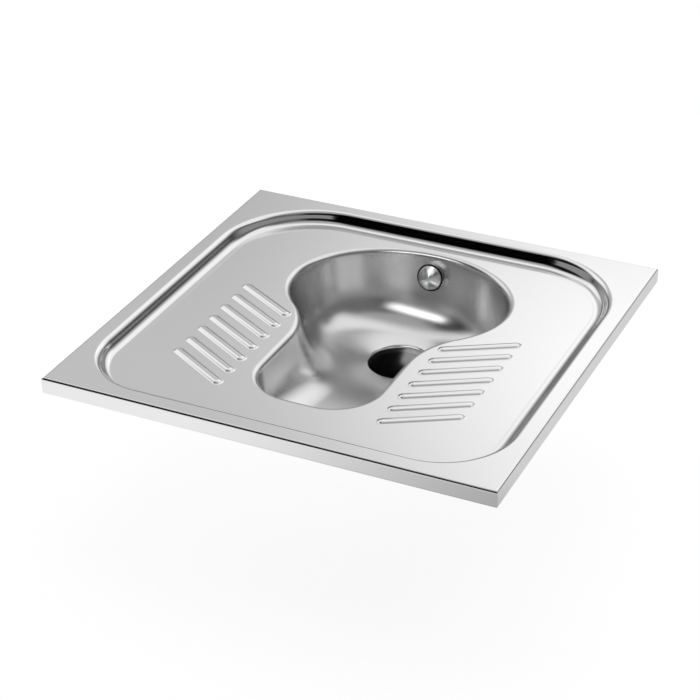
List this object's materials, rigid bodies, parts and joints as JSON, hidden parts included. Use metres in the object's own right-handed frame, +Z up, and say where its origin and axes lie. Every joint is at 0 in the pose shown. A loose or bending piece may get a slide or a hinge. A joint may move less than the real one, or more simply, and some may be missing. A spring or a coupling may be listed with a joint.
{
  "type": "squat toilet",
  "caption": "Square stainless steel squat pan with a sunken deck, slanted tread ribs, a keyhole bowl, a round drain with a spigot and a domed flush spreader.",
  "frame": {"origin": "centre of the underside of the return flange, the face that rests on the floor", "axes": "+Z up, +X to the user's right as they face the flush inlet, +Y towards the flush inlet"},
  "size_m": [0.6, 0.58, 0.2234],
  "materials": {
    "satin_sheet": "polished satin pressing",
    "steel_tube": "mill finish tube",
    "steel_strip": "mill finish strip",
    "polished_cap": "turned and polished",
    "zinc_steel": "zinc plated",
    "black_rubber": "moulded",
    "damping_pad": "bitumen sheet",
    "brass_fixing": "machined"
  },
  "bodies": {
    "root": {"deck": "satin_sheet", "bowl": "satin_sheet", "outlet_spigot": "steel_tube", "inlet_spigot": "steel_tube", "inlet_seal": "black_rubber", "spreader_cap": "polished_cap", "spreader_stud": "zinc_steel", "spreader_crossbar": "steel_tube", "spreader_washer": "zinc_steel", "spreader_nuts": "zinc_steel", "anchor_lug_front_left": "steel_strip", "anchor_lug_front_right": "steel_strip", "anchor_lug_back_left": "steel_strip", "anchor_lug_back_right": "steel_strip", "stiffener_left": "steel_strip", "stiffener_right": "steel_strip", "damping_pad_left": "damping_pad", "damping_pad_right": "damping_pad", "damping_pad_front": "damping_pad", "earth_tag": "steel_strip", "earth_bolt": "brass_fixing", "earth_washers": "brass_fixing", "earth_nut": "brass_fixing"}
  },
  "joints": []
}
